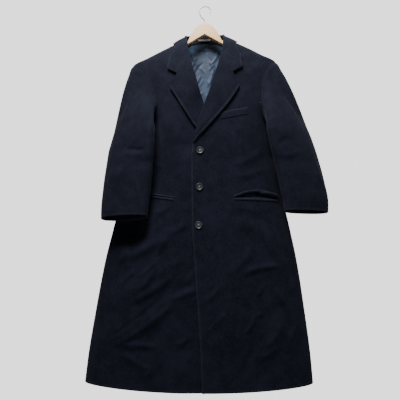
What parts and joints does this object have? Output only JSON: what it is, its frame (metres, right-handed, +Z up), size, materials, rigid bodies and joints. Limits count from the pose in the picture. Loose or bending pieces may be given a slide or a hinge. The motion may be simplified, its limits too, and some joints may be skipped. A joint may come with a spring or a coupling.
{
  "type": "wool overcoat on a wooden hanger",
  "caption": "Long single-breasted wool overcoat with notched lapels and flapless pockets, hanging on a wooden hanger with a wire hook.",
  "frame": {"origin": "inside of the hook's bend, at its top, where the hanger is held", "axes": "+Z up, -Y the way the coat's front faces, +X the side of the wearer's left arm"},
  "size_m": [0.752, 0.1438, 1.2938],
  "materials": {
    "wool": "dark navy wool coating, short nap, matt",
    "satin": "blue-grey satin lining, soft shine",
    "tape": "grey woven tape",
    "horn": "dark grey, horn-like, half matt",
    "wood": "pale varnished wood",
    "steel": "bright wire"
  },
  "bodies": {
    "root": {"front_right": "wool", "back_right": "wool", "sleeve_right_top": "wool", "sleeve_right_under": "wool", "lapel_right": "wool", "front_left": "wool", "back_left": "wool", "sleeve_left_top": "wool", "sleeve_left_under": "wool", "lapel_left": "wool", "collar": "wool", "breast_welt": "wool", "pocket_left_upper_jet": "wool", "pocket_left_lower_jet": "wool", "pocket_right_upper_jet": "wool", "pocket_right_lower_jet": "wool", "back_lining": "satin", "hanger_loop": "tape", "button_1": "horn", "button_2": "horn", "button_3": "horn", "hanger_body": "wood", "hanger_hook": "steel"}
  },
  "joints": []
}
